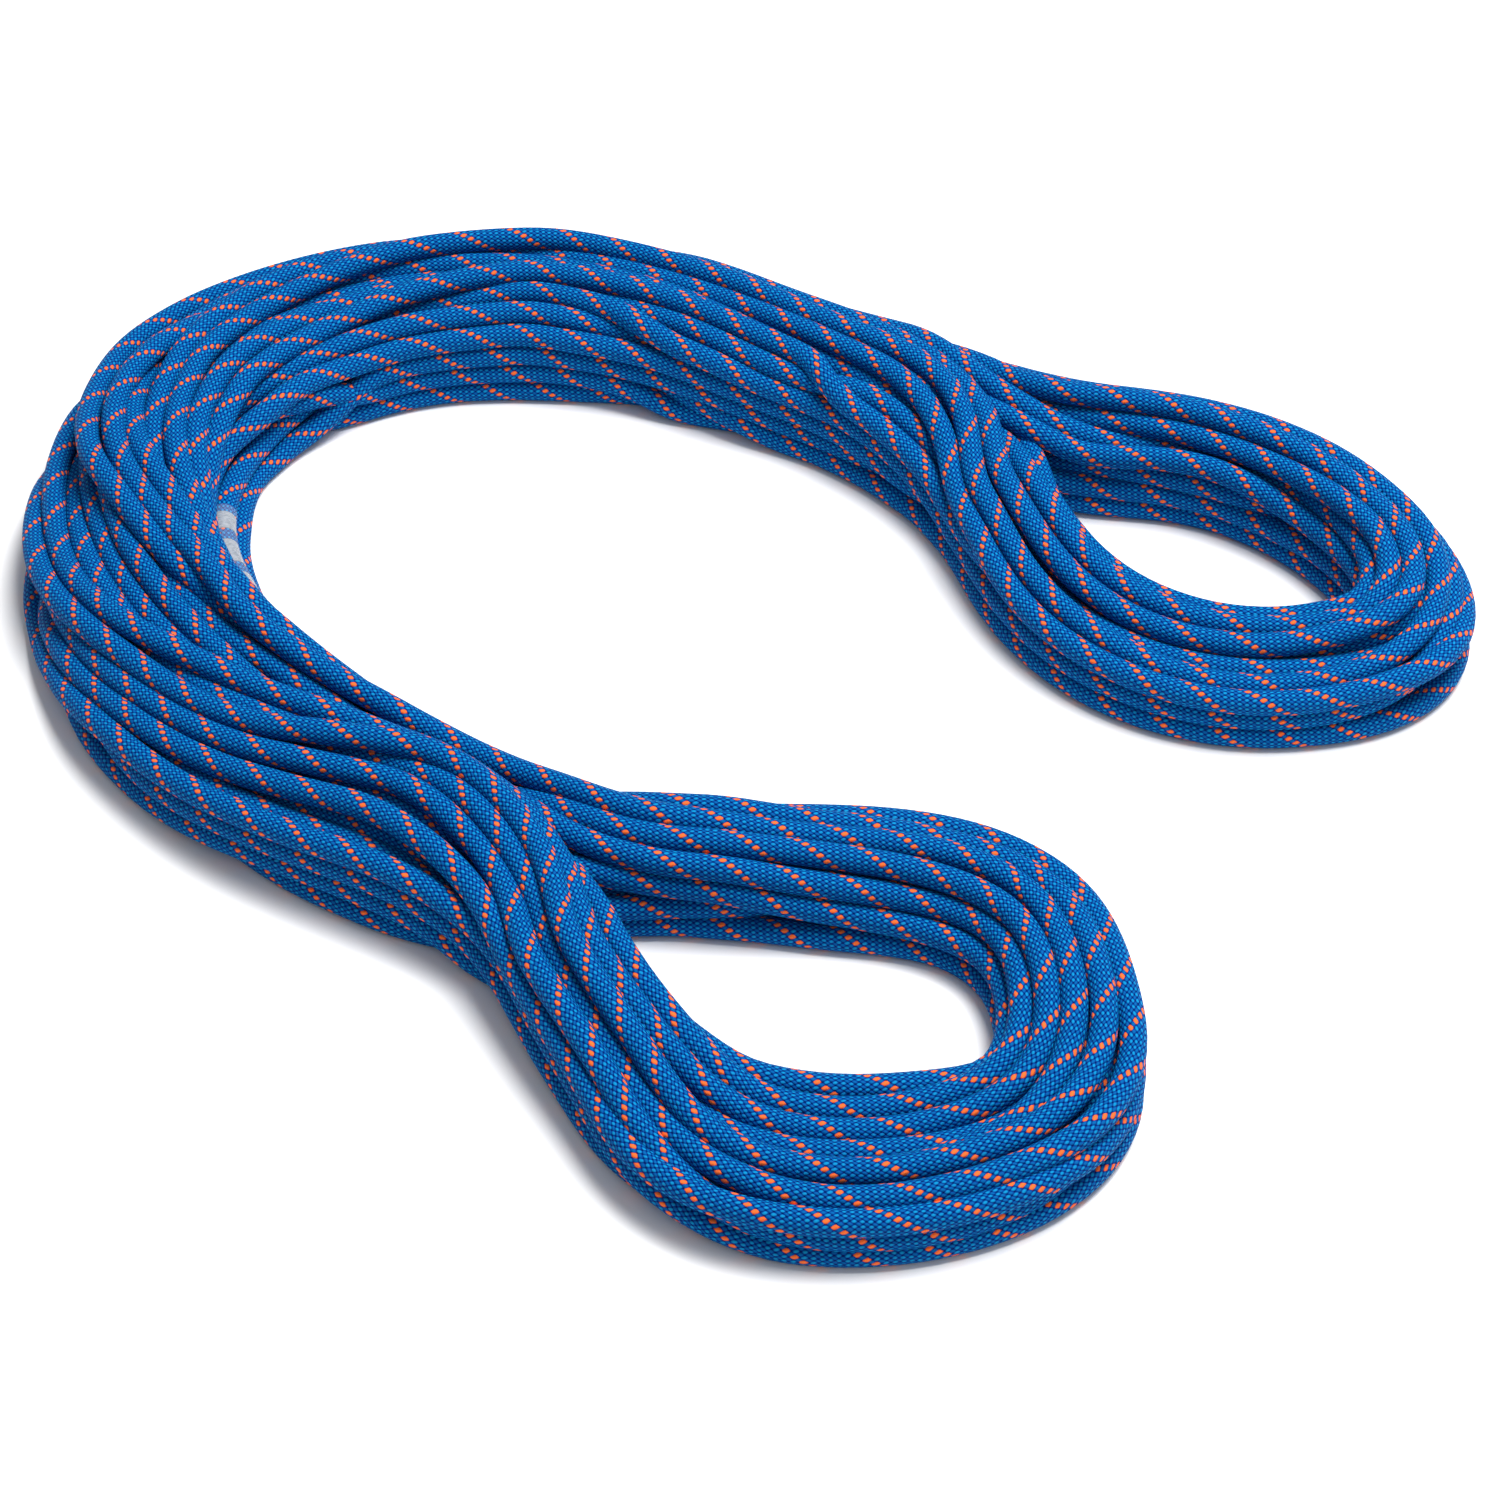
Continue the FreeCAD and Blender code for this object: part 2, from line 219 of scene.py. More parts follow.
def lay_turns(guide):
    """The turns before they settle, with the middle, side, half width and height that they keep to."""
    rng = np.random.default_rng(SEED)
    start = guide.nearest(LABELLED_END[0], guide.marks[0], guide.marks[1])
    end = guide.nearest(PLAIN_END[0], guide.marks[2] - PLAIN_END_SEARCH, guide.marks[3])
    total = TURNS * guide.length + end - start
    run = np.linspace(0, total, int(total / STEP))
    station = start + run
    p, left, half = guide.at(station)
    rise = np.minimum(AREA_PER_WIDTH / (2 * half) / 2 - RADIUS, HIGHEST_RISE)
    spots = places()
    place = through(spots, run / total * (len(spots) - 1))
    turn = run / guide.length
    a = place[:, 0] + WANDER_ACROSS * waves(rng, turn)
    b = place[:, 1] + WANDER_UP * waves(rng, turn)
    r = np.hypot(a, b)
    soft_edge = SECTION_EDGE + EDGE_SOFTNESS * np.tanh((r - SECTION_EDGE) / EDGE_SOFTNESS)
    held = np.where(r > SECTION_EDGE, soft_edge / np.maximum(r, 1e-9), 1)
    a, b = a * held, b * held
    # The C's two lanes lie side by side, and each goes over into the loops at its ends.
    m, s = guide.marks, np.mod(station, guide.length)
    wrapped = np.where(s > guide.length / 2 + m[1], s - guide.length, s)
    inner_share = smooth_step(1 - np.maximum(m[0] - wrapped, wrapped - m[1]) / BLEND)
    outer_share = smooth_step(1 - np.maximum(m[2] - s, s - m[3]) / BLEND)
    inner = inner_share >= outer_share
    share = np.where(inner, inner_share, outer_share)[:, None]
    along = np.where(inner, (wrapped - m[0]) / (m[1] - m[0]), (m[3] - s) / (m[3] - m[2]))
    angle = np.radians(np.interp(np.clip(along, 0, 1), *zip(*TURN_UP)))
    x = np.where(inner, -0.5 + 0.5 * a, 0.5 - 0.5 * a)
    across = x * np.cos(angle) + b * np.sin(angle)
    up = b * np.cos(angle) - x * np.sin(angle)
    outward = np.where(inner[:, None], left, -left)
    mid_height = RADIUS + LIFT * rise
    in_loop = np.column_stack([p + left * (a * (half - RADIUS))[:, None], mid_height + b * rise])
    in_back = p + left * half[:, None] + outward * (across * (2 * half - RADIUS))[:, None]
    in_back = np.column_stack([in_back, mid_height + up * rise])
    middle = p + left * half[:, None] * share
    reach = half * (1 + share[:, 0]) - RADIUS
    return in_loop * (1 - share) + in_back * share, middle, left, reach, CEILING * rise


def tuck(x, end, outward):
    """Moves the turn nearest to the labelled end's inner side down to it, so that the end lies on it."""
    place = np.column_stack([end[:, :2] - outward * TUCK_SIDE, np.full(len(end), RADIUS)])
    half, fading = (len(place) - 1) // 2, int(TUCK_FADE / STEP)
    i = np.argmin(np.linalg.norm(x - place[half], axis=1))
    forward = 1 if (x[i + 1] - x[i - 1]) @ (place[-1] - place[0]) > 0 else -1
    k = np.arange(-half - fading, half + fading + 1)
    held = np.clip(k, -half, half)
    shift = place[half + held] - x[i + held * forward]
    x[i + k * forward] += shift * smooth_step(1 - np.abs(k - held) / fading)[:, None]


def spaced(points, step):
    """Points a step apart along the NURBS curve of order 3 that has the given points as control points."""
    r = np.asarray(points, float)
    u = np.linspace(0, 1, PIECE_POINTS, endpoint=False)[:, None]
    out = []
    for i in range(1, len(r) - 1):
        a = r[0] if i == 1 else (r[i - 1] + r[i]) / 2
        b = r[-1] if i == len(r) - 2 else (r[i] + r[i + 1]) / 2
        out.append((1 - u) ** 2 * a + 2 * u * (1 - u) * r[i] + u * u * b)
    line = np.concatenate(out + [r[-1:]])
    run = np.concatenate([[0], np.cumsum(np.linalg.norm(np.diff(line, axis=0), axis=1))])
    at = np.linspace(0, run[-1], int(run[-1] / step) + 1)
    return np.stack([np.interp(at, run, line[:, k]) for k in range(3)], 1)


def neighbours(x, reach, skip):
    """Pairs of points closer than reach that are more than skip points apart along the rope."""
    cell = np.floor(x / reach).astype(np.int64)
    cell -= cell.min(0) - 1
    dims = cell.max(0) + 2
    ids = (cell[:, 0] * dims[1] + cell[:, 1]) * dims[2] + cell[:, 2]
    order = np.argsort(ids, kind="stable")
    sorted_ids = ids[order]
    first, second = [], []
    for dx in (-1, 0, 1):
        for dy in (-1, 0, 1):
            for dz in (-1, 0, 1):
                offset = (dx * dims[1] + dy) * dims[2] + dz
                if offset < 0:
                    continue
                low = np.searchsorted(sorted_ids, sorted_ids + offset, "left")
                count = np.searchsorted(sorted_ids, sorted_ids + offset, "right") - low
                i = np.repeat(np.arange(len(x)), count)
                j = np.repeat(low, count) + np.arange(len(i)) - np.repeat(np.cumsum(count) - count, count)
                if offset == 0:
                    i, j = i[j > i], j[j > i]
                first.append(order[i])
                second.append(order[j])
    i, j = np.concatenate(first), np.concatenate(second)
    keep = np.abs(i - j) > skip
    i, j = i[keep], j[keep]
    keep = np.linalg.norm(x[i] - x[j], axis=1) < reach
    return i[keep], j[keep]


def smoothed(v, times):
    for _ in range(times):
        v = np.vstack([v[:1], 0.25 * v[:-2] + 0.5 * v[1:-1] + 0.25 * v[2:], v[-1:]])
    return v


ROUNDS = 900
LAST_ROUNDS = 80  # without the pull back
CONTACT = 0.97 * ROPE_DIAMETER + 0.0002  # the distance that the rounds push strands apart to
FIRST_CONTACT = 0.45  # share of it at the start, which grows to 1 over GROWING of the rounds
GROWING = 0.6
FALL = 0.0001  # metres a round
GROWING_FALL, LAST_FALL = 0.25, 0.3  # shares of it
HOLD = 0.01  # pull back to the laid place in plan, a round
SIDE_PUSH, LID_PUSH = 0.5, 0.15
LIST_EVERY, LIST_MARGIN = 4, 0.002  # rounds between lists of near pairs, and their reach past contact
SKIPPED = 1.8 * ROPE_DIAMETER  # length of rope within which points don't count as near
OVERSHOOT = 1.3  # of the push that parts two strands
KEPT_MOVE, SMOOTHED_MOVE = 0.4, 0.6
BEND_EASE, LENGTH_EASE = 0.4, 0.25
END_ROOM = 0.0007  # more between a turn and a free end, for the end's sleeve
OPEN_LENGTH = 0.085  # of the labelled end, where turns above it keep to its outer side
TIGHTEST_BEND = 0.030  # radius that sharper bends are eased towards
TUCK_SIDE, TUCK_FADE = 0.0038, 0.12
OPEN_REACH, OPEN_SIDE, OPEN_ABOVE = 0.012, 0.0058, 0.001
CROWN = 0.45  # how much lower the bundle is at its sides than in its middle


def settle(x, free, limits, first, last):
    """Lets the turns fall, pushes them apart and off the floor, and keeps their length.

    The rounds end before every overlap is gone, so strands still pass into each other in places.
    """
    middle, side, reach, height = limits
    n = len(x)
    skip = int(SKIPPED / STEP) + 1
    spans = np.linalg.norm(np.diff(x, axis=0), axis=1)
    loose = free[:, None].astype(float)
    alternate = [np.arange(k, n - 1, 2) for k in (0, 1)]
    turns = slice(first, n - last)
    shown = x[: int(OPEN_LENGTH / STEP)]
    outward = turned_left(unit(np.gradient(shown[:, :2], axis=0)))
    tuck(x[turns], shown, outward)
    laid = x.copy()
    for k in range(ROUNDS):
        late = k >= ROUNDS - LAST_ROUNDS
        apart = CONTACT * min(1, FIRST_CONTACT + (1 - FIRST_CONTACT) * k / (GROWING * ROUNDS))
        if k % LIST_EVERY == 0:
            near_a, near_b = neighbours(x, apart + LIST_MARGIN, skip)
        x[:, 2] -= FALL * (LAST_FALL if late else GROWING_FALL if k < GROWING * ROUNDS else 1) * free
        if not late:
            x[:, :2] += (laid[:, :2] - x[:, :2]) * HOLD * loose
        off = ((x[turns, :2] - middle) * side).sum(1)
        x[turns, :2] -= side * ((off - np.clip(off, -reach, reach)) * SIDE_PUSH)[:, None]
        gap = x[turns, None, :2] - shown[None, :, :2]
        away = np.linalg.norm(gap, axis=2)
        closest = np.argmin(away, axis=1)
        each = np.arange(len(closest))
        over = (away[each, closest] < OPEN_REACH) & (x[turns, 2] > shown[closest, 2] + OPEN_ABOVE)
        short = np.maximum(OPEN_SIDE - (gap[each, closest] * outward[closest]).sum(1), 0) * over
        x[turns, :2] += outward[closest] * short[:, None]
        lid = RADIUS + height * (1 - CROWN * np.clip(np.abs(off) / reach, 0, 1) ** 4)
        x[turns, 2] -= np.maximum(x[turns, 2] - lid, 0) * LID_PUSH
        for _ in range(2):
            d = x[near_a] - x[near_b]
            dist = np.linalg.norm(d, axis=1)
            room = np.where(free[near_a] & free[near_b], apart, apart + END_ROOM)
            touching = dist < room
            i, j, between = near_a[touching], near_b[touching], np.maximum(dist[touching], 1e-6)
            v = d[touching] * (0.5 * (room[touching] - between) / between)[:, None]
            push_i = np.where(free[j], 1.0, 2.0) * free[i]
            push_j = np.where(free[i], 1.0, 2.0) * free[j]
            push = [
                np.bincount(i, v[:, c] * push_i, n) - np.bincount(j, v[:, c] * push_j, n) for c in range(3)
            ]
            count = np.bincount(i, minlength=n) + np.bincount(j, minlength=n)
            x = x + np.stack(push, 1) / np.maximum(count, 1)[:, None] * OVERSHOOT
        moved = x - laid
        even = smoothed(moved, 2 if late else 3)
        x = np.where(loose > 0, laid + KEPT_MOVE * moved + SMOOTHED_MOVE * even, x)
        bend = x[:-2] - 2 * x[1:-1] + x[2:]
        sharp = np.linalg.norm(bend, axis=1)
        share = np.maximum(1 - STEP**2 / TIGHTEST_BEND / np.maximum(sharp, 1e-9), 0)
        x[1:-1] += BEND_EASE * bend * share[:, None] * loose[1:-1]
        for a in alternate:
            d = x[a + 1] - x[a]
            now = np.linalg.norm(d, axis=1)
            stretch = d * ((now - spans[a]) / np.maximum(now, 1e-9) * LENGTH_EASE)[:, None]
            x[a] += stretch * loose[a]
            x[a + 1] -= stretch * loose[a + 1]
        x[:, 2] = np.maximum(x[:, 2], RADIUS)
    return x


def rope_points():
    """The control points of the whole rope, from the labelled tip to the plain one."""
    guide = Guide()
    x, *limits = lay_turns(guide)
    first, last = spaced(LABELLED_END[::-1], STEP), spaced(PLAIN_END, STEP)
    n = int(END_FADE / STEP)
    fade = smooth_step(1 - np.arange(n) / n)[:, None]
    x[:n] += (first[-1] + unit(first[-1] - first[-2]) * STEP - x[0]) * fade
    x[-n:] += ((last[0] - unit(last[1] - last[0]) * STEP - x[-1]) * fade)[::-1]
    free = np.concatenate([np.zeros(len(first)), np.ones(len(x)), np.zeros(len(last))]).astype(bool)
    return settle(np.vstack([first, x, last]), free, limits, len(first), len(last))


# ---------------------------------------------------------------- the rope's surface

SIDES = 12
RINGS_PER_TILE = 15
TILE = 0.076  # length of rope after which its pattern repeats: two turns of a yarn


def nurbs_line(points):
    """The smooth line of the NURBS spline that has the points as its control points."""
    curve = bpy.data.curves.new("rope_line", "CURVE")
    curve.dimensions = "3D"
    curve.resolution_u = 2
    spline = curve.splines.new("NURBS")
    spline.points.add(len(points) - 1)
    spline.points.foreach_set("co", np.column_stack([points, np.ones(len(points))]).ravel())
    spline.order_u = 3
    spline.use_endpoint_u = True
    holder = bpy.data.objects.new("rope_line", curve)
    bpy.context.scene.collection.objects.link(holder)
    bpy.context.view_layer.update()
    mesh = bpy.data.meshes.new_from_object(holder.evaluated_get(bpy.context.evaluated_depsgraph_get()))
    line = np.empty(len(mesh.vertices) * 3)
    mesh.vertices.foreach_get("co", line)
    bpy.data.meshes.remove(mesh)
    bpy.data.objects.remove(holder)
    bpy.data.curves.remove(curve)
    return line.reshape(-1, 3)


class Line:
    """A line in space with a direction and two cross directions at every distance along it."""

    def __init__(self, points, step):
        run = np.concatenate([[0], np.cumsum(np.linalg.norm(np.diff(points, axis=0), axis=1))])
        self.length = run[-1]
        self.count = round(self.length / step) + 1
        self.at = np.linspace(0, self.length, self.count)
        self.points = np.stack([np.interp(self.at, run, points[:, k]) for k in range(3)], 1)
        self.along = unit(np.gradient(self.points, axis=0))
        side = np.empty_like(self.points)
        s = np.cross((0, 0, 1), self.along[0])
        for i, t in enumerate(self.along):
            s = s - t * (s @ t)
            s /= np.linalg.norm(s)
            side[i] = s
        self.side = side
        self.up = np.cross(self.along, side)

    def ring(self, distances, radii, sides):
        """Rings of points round the line, one for each distance and radius."""
        d = np.asarray(distances, float)
        p, t, s = (
            np.stack([np.interp(d, self.at, v[:, k]) for k in range(3)], 1)
            for v in (self.points, self.along, self.side)
        )
        t = unit(t)
        s = unit(s - t * (s * t).sum(1)[:, None])
        u = np.cross(t, s)
        angle = 2 * math.pi * np.arange(sides) / sides
        out = s[:, None] * np.cos(angle)[None, :, None] + u[:, None] * np.sin(angle)[None, :, None]
        return p[:, None] + out * np.asarray(radii, float)[:, None, None]


def tube_mesh(name, rings, tile_rings, layers, capped=True):
    """A mesh of quads between rings. u goes once round, and v goes from 0 to 1 over each tile."""
    count, sides = rings.shape[:2]
    mesh = bpy.data.meshes.new(name)
    i, j = np.meshgrid(np.arange(count - 1), np.arange(sides), indexing="ij")
    k = (j + 1) % sides
    quad = [i * sides + j, i * sides + k, (i + 1) * sides + k, (i + 1) * sides + j]
    quads = np.stack(quad, -1).reshape(-1, 4)
    caps = [list(range(sides))[::-1], list(range((count - 1) * sides, count * sides))] if capped else []
    corners = np.concatenate([quads.ravel()] + [np.array(c) for c in caps])
    sizes = np.concatenate([np.full(len(quads), 4), [len(c) for c in caps]]).astype(np.int32)
    mesh.vertices.add(count * sides)
    mesh.vertices.foreach_set("co", rings.ravel())
    mesh.loops.add(len(corners))
    mesh.loops.foreach_set("vertex_index", corners.astype(np.int32))
    mesh.polygons.add(len(sizes))
    mesh.polygons.foreach_set("loop_start", np.concatenate([[0], np.cumsum(sizes)[:-1]]).astype(np.int32))
    mesh.update(calc_edges=True)
    v0 = (i % tile_rings) / tile_rings
    u0 = j / sides
    du, dv = 1 / sides, 1 / tile_rings
    uv = np.stack([u0, v0, u0 + du, v0, u0 + du, v0 + dv, u0, v0 + dv], -1).ravel()
    uv = np.concatenate([uv, np.full(2 * (len(corners) - quads.size), 0.5)])
    for layer in layers:
        mesh.uv_layers.new(name=layer).data.foreach_set("uv", uv)
    mesh.uv_layers[0].active_render = True
    mesh.polygons.foreach_set("use_smooth", np.ones(len(sizes), bool))
    mesh.validate()
    return mesh


# ---------------------------------------------------------------- materials


class Nodes:
    """Builds a material's nodes. A value is a number or another node's output."""

    def __init__(self, name):
        self.material = bpy.data.materials.new(name)
        self.material.use_nodes = True
        self.tree = self.material.node_tree
        self.shader = self.tree.nodes["Principled BSDF"]

    def put(self, socket, value):
        if isinstance(value, bpy.types.NodeSocket):
            self.tree.links.new(value, socket)
        else:
            socket.default_value = value

    def math(self, operation, *values):
        node = self.tree.nodes.new("ShaderNodeMath")
        node.operation = operation
        for socket, value in zip(node.inputs, values):
            self.put(socket, value)
        return node.outputs[0]

    def colour_mix(self, share, a, b, blend="MIX"):
        node = self.tree.nodes.new("ShaderNodeMix")
        node.data_type = "RGBA"
        node.blend_type = blend
        sockets = [s for s in node.inputs if s.enabled]
        for socket, value in zip(sockets, (share, a, b)):
            self.put(socket, value)
        return next(s for s in node.outputs if s.enabled)

    def steps(self, value, low, high):
        """0 below low, 1 above high, smooth between them."""
        node = self.tree.nodes.new("ShaderNodeMapRange")
        node.interpolation_type = "SMOOTHSTEP"
        for socket, v in zip(node.inputs, (value, low, high, 0.0, 1.0)):
            self.put(socket, v)
        return node.outputs[0]

    def uv(self, layer):
        node = self.tree.nodes.new("ShaderNodeUVMap")
        node.uv_map = layer
        split = self.tree.nodes.new("ShaderNodeSeparateXYZ")
        self.tree.links.new(node.outputs[0], split.inputs[0])
        return split.outputs[0], split.outputs[1]

    def circle(self, share):
        """The cosine and sine of a share of a turn, which meet where the share starts again."""
        turn = self.math("MULTIPLY", share, 2 * math.pi)
        return [self.math("COSINE", turn), self.math("SINE", turn)]

    def noise(self, x, y, z, w, scale, detail=2.0):
        place = self.tree.nodes.new("ShaderNodeCombineXYZ")
        for socket, value in zip(place.inputs, (x, y, z)):
            self.put(socket, value)
        node = self.tree.nodes.new("ShaderNodeTexNoise")
        node.noise_dimensions = "4D"
        self.put(node.inputs["Vector"], place.outputs[0])
        self.put(node.inputs["W"], w)
        node.inputs["Scale"].default_value = scale
        node.inputs["Detail"].default_value = detail
        return node.outputs["Fac"]

    def bump(self, height, distance, strength=1.0):
        node = self.tree.nodes.new("ShaderNodeBump")
        node.inputs["Strength"].default_value = strength
        node.inputs["Distance"].default_value = distance
        self.put(node.inputs["Height"], height)
        self.put(self.shader.inputs["Normal"], node.outputs[0])

    def set(self, **values):
        for name, value in values.items():
            self.put(self.shader.inputs[name.replace("_", " ")], value)


YARNS = 16  # of each direction, round the rope
COLUMNS = 32  # of crossings along a tile
TRACER_EVERY = 8  # yarns
TRACER_SWELL = 0.3
YARN_HALF_WIDTH = 0.53  # of the distance between yarns
FLOAT_SHARE, ROUND_SHARE = 0.55, 0.75  # of a yarn's height: from passing over, and from its own roundness

# Linear colours.
# The brightest blue is partly a painted highlight on the ridges of the floats.
RIDGE_BLUE_AND_PAINTED_HIGHLIGHT = (0.004, 0.255, 0.545, 1)
MID_BLUE = (0.0002, 0.038, 0.255, 1)
# Painted shade: the blue of the hollows between the yarns.
PAINTED_SHADE_BLUE = (0.0001, 0.0025, 0.040, 1)
ORANGE = (0.950, 0.170, 0.040, 1)
# Painted shade: the tracer's orange on the low sides of its floats.
PAINTED_SHADE_ORANGE = (0.420, 0.035, 0.012, 1)
LABEL_PALE, LABEL_WORN = (0.33, 0.35, 0.38, 1), (0.15, 0.17, 0.20, 1)
SLEEVE_TINT = (0.80, 0.88, 0.95, 1)
TIP_DARK, TIP_LIGHT = (0.004, 0.020, 0.085, 1), (0.012, 0.060, 0.190, 1)


def sheath_material():
    """A plain braid of YARNS yarns each way, blue, with orange tracer yarns in one direction."""
    n = Nodes("rope_sheath")
    m = n.math
    u, v = n.uv("rope")
    around, columns = m("MULTIPLY", u, float(YARNS)), m("MULTIPLY", v, float(COLUMNS))
    circle = n.circle(u) + n.circle(v)
    # Yarns lie a little unevenly.
    uneven = n.noise(*circle[:2], m("MULTIPLY", circle[2], 6.0), m("MULTIPLY", circle[3], 6.0), 2.2)
    sway = m("SUBTRACT", uneven, 0.5)
    p = m("ADD", m("SUBTRACT", around, columns), m("MULTIPLY", sway, 0.35))
    # The tracer yarns are a little thicker, and the yarns halfway between them thinner.
    swell = m("SINE", m("MULTIPLY", p, 2 * math.pi / TRACER_EVERY))
    p = m("SUBTRACT", p, m("MULTIPLY", swell, TRACER_SWELL))
    q = m("ADD", m("ADD", around, columns), m("MULTIPLY", sway, -0.25))
    yarn_p, yarn_q = m("ROUND", p), m("ROUND", q)
    dp, dq = m("SUBTRACT", p, yarn_p), m("SUBTRACT", q, yarn_q)

    def float_height(along, own, shift):
        """Above 0 where the yarn passes over the others, and below 0 where it passes under."""
        return m("COSINE", m("MULTIPLY", m("ADD", m("SUBTRACT", along, own), shift), math.pi))

    def round_height(d):
        x = m("DIVIDE", d, YARN_HALF_WIDTH)
        return m("SQRT", m("MAXIMUM", m("SUBTRACT", 1.0, m("MULTIPLY", x, x)), 0.0))

    tracers = m("DIVIDE", yarn_p, float(TRACER_EVERY))
    is_tracer = m("LESS_THAN", m("ABSOLUTE", m("SUBTRACT", tracers, m("ROUND", tracers))), 0.04)
    over_p, over_q = float_height(q, yarn_p, 0.0), float_height(p, yarn_q, 1.0)
    round_p, round_q = round_height(dp), round_height(dq)
    high_p = m("ADD", m("MULTIPLY", over_p, FLOAT_SHARE), m("MULTIPLY", round_p, ROUND_SHARE))
    high_p = m("ADD", high_p, m("MULTIPLY", is_tracer, 0.15))
    high_q = m("ADD", m("MULTIPLY", over_q, FLOAT_SHARE), m("MULTIPLY", round_q, ROUND_SHARE))
    first = m("GREATER_THAN", high_p, high_q)
    height = m("MAXIMUM", high_p, high_q)
    # Fine filaments along each yarn.
    fine_p = m("SINE", m("ADD", m("MULTIPLY", dp, 44.0), m("MULTIPLY", over_p, 1.2)))
    fine_q = m("SINE", m("ADD", m("MULTIPLY", dq, 44.0), m("MULTIPLY", over_q, 1.2)))
    fine = m("ADD", m("MULTIPLY", fine_p, first), m("MULTIPLY", fine_q, m("SUBTRACT", 1.0, first)))
    grain = n.noise(*[m("MULTIPLY", c, 30.0) for c in circle], 4.0, 3.0)

    # Colour: the ridges of the floats are painted lighter, partly the yarns' own lighter colour and partly
    # a painted highlight; the floats of the tracer's direction are the brighter ones.
    ridge_highlight_p = n.steps(high_p, 0.75, 1.28)
    ridge_highlight_q = n.steps(high_q, 0.80, 1.30)
    blue_p = n.colour_mix(ridge_highlight_p, MID_BLUE, RIDGE_BLUE_AND_PAINTED_HIGHLIGHT)
    blue_q = n.colour_mix(m("MULTIPLY", ridge_highlight_q, 0.35), MID_BLUE, RIDGE_BLUE_AND_PAINTED_HIGHLIGHT)
    blue = n.colour_mix(first, blue_q, blue_p)
    # The tracer is painted darker away from the ridge of its float, a painted shade.
    orange = n.colour_mix(n.steps(high_p, 0.55, 1.25), PAINTED_SHADE_ORANGE, ORANGE)
    colour = n.colour_mix(m("MULTIPLY", is_tracer, first), blue, orange)
    # Painted shade: the low hollows between the yarns are painted deep blue.
    colour = n.colour_mix(n.steps(height, 0.95, 0.35), colour, PAINTED_SHADE_BLUE)
    tone = m("ADD", 0.86, m("ADD", m("MULTIPLY", grain, 0.28), m("MULTIPLY", fine, 0.05)))
    shade = n.tree.nodes.new("ShaderNodeCombineColor")
    for socket in shade.inputs:
        n.put(socket, tone)
    colour = n.colour_mix(1.0, colour, shade.outputs[0], "MULTIPLY")
    n.set(Base_Color=colour, Roughness=m("SUBTRACT", 0.62, m("MULTIPLY", first, 0.12)))
    n.set(Sheen_Weight=0.10, Sheen_Roughness=0.4, Sheen_Tint=(0.02, 0.35, 1.0, 1), Specular_IOR_Level=0.03)
    relief = m("ADD", height, m("ADD", m("MULTIPLY", fine, 0.03), m("MULTIPLY", grain, 0.12)))
    n.bump(relief, 0.00035)
    return n.material


def label_material():
    """Pale grey printed film, slightly glossy, with wear and fine scratches."""
    n = Nodes("label_film")
    m = n.math
    u, v = n.uv("rope")
    worn = n.noise(*n.circle(u), m("MULTIPLY", v, 9.0), 1.3, 3.0, 4.0)
    colour = n.colour_mix(n.steps(worn, 0.35, 0.75), LABEL_PALE, LABEL_WORN)
    n.set(Base_Color=colour, Roughness=m("ADD", 0.30, m("MULTIPLY", worn, 0.25)), Specular_IOR_Level=0.5)
    n.bump(m("ADD", worn, m("MULTIPLY", m("SINE", m("MULTIPLY", v, 240.0)), 0.15)), 0.0001)
    return n.material


def sleeve_material():
    """Clear heat-shrink film, thin and smooth."""
    n = Nodes("shrink_sleeve")
    m = n.math
    u, v = n.uv("rope")
    wave = n.noise(*n.circle(u), m("MULTIPLY", v, 5.0), 0.4, 2.5, 2.0)
    n.set(Base_Color=SLEEVE_TINT, Roughness=0.12, IOR=1.45, Alpha=0.10, Specular_IOR_Level=0.6)
    n.bump(wave, 0.0002)
    return n.material


def tip_material():
    """The melted end of the sheath and core: dark, hard and glossy."""
    n = Nodes("fused_tip")
    m = n.math
    u, v = n.uv("rope")
    lumps = n.noise(*n.circle(u), m("MULTIPLY", v, 3.0), 2.1, 3.5, 4.0)
    colour = n.colour_mix(n.steps(lumps, 0.3, 0.7), TIP_DARK, TIP_LIGHT)
    n.set(Base_Color=colour, Roughness=m("ADD", 0.22, m("MULTIPLY", lumps, 0.25)), Specular_IOR_Level=0.5)
    n.bump(lumps, 0.0006)
    return n.material


# ---------------------------------------------------------------- pieces

LABEL_WALL = 0.00015
SLEEVE_WALL = 0.0003
SLEEVE_LENGTH = 0.062
TIP_LENGTH = 0.0035
TIP_OVERHANG = 0.00015
TIP_ROUNDING = 0.0014
TIP_LAP = 0.0002  # of the tip over the rope's end
TIP_FACE = ((0.0001, 0.0024), (0.0003, 0.0014), (0.0003, 0.0005))  # a shallow hollow: depth, radius
INNER_END = TIP_LENGTH + SLEEVE_LENGTH  # of the sleeve, from the tip
LABEL_BEVEL, LABEL_DROP = 0.0003, 0.00005  # along and down, at a film's edges
OUTER_BEVEL, INNER_BEVEL, INNER_LIP = 0.0006, 0.0012, 0.0004  # along, at the sleeve's two ends
SLEEVE_DROP, SLEEVE_SUNK = 0.0002, 0.0001
TIP_EDGE, TIP_SHOULDER = 0.0004, 0.0001  # past the tip's length: where it sinks in, and where it is full
SUNK = 0.0002  # how far an edge goes down into the rope
LABELS = ((0.004, 0.009), (0.019, 0.0125), (0.0375, 0.021))  # from the sleeve's inner end: start, length
END_SIDES = 32


def add_piece(name, mesh, material, nodes):
    piece = bpy.data.objects.new(name, mesh)
    bpy.context.scene.collection.objects.link(piece)
    mesh.materials.append(material)
    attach(piece, "root")
    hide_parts(*nodes)
    return piece


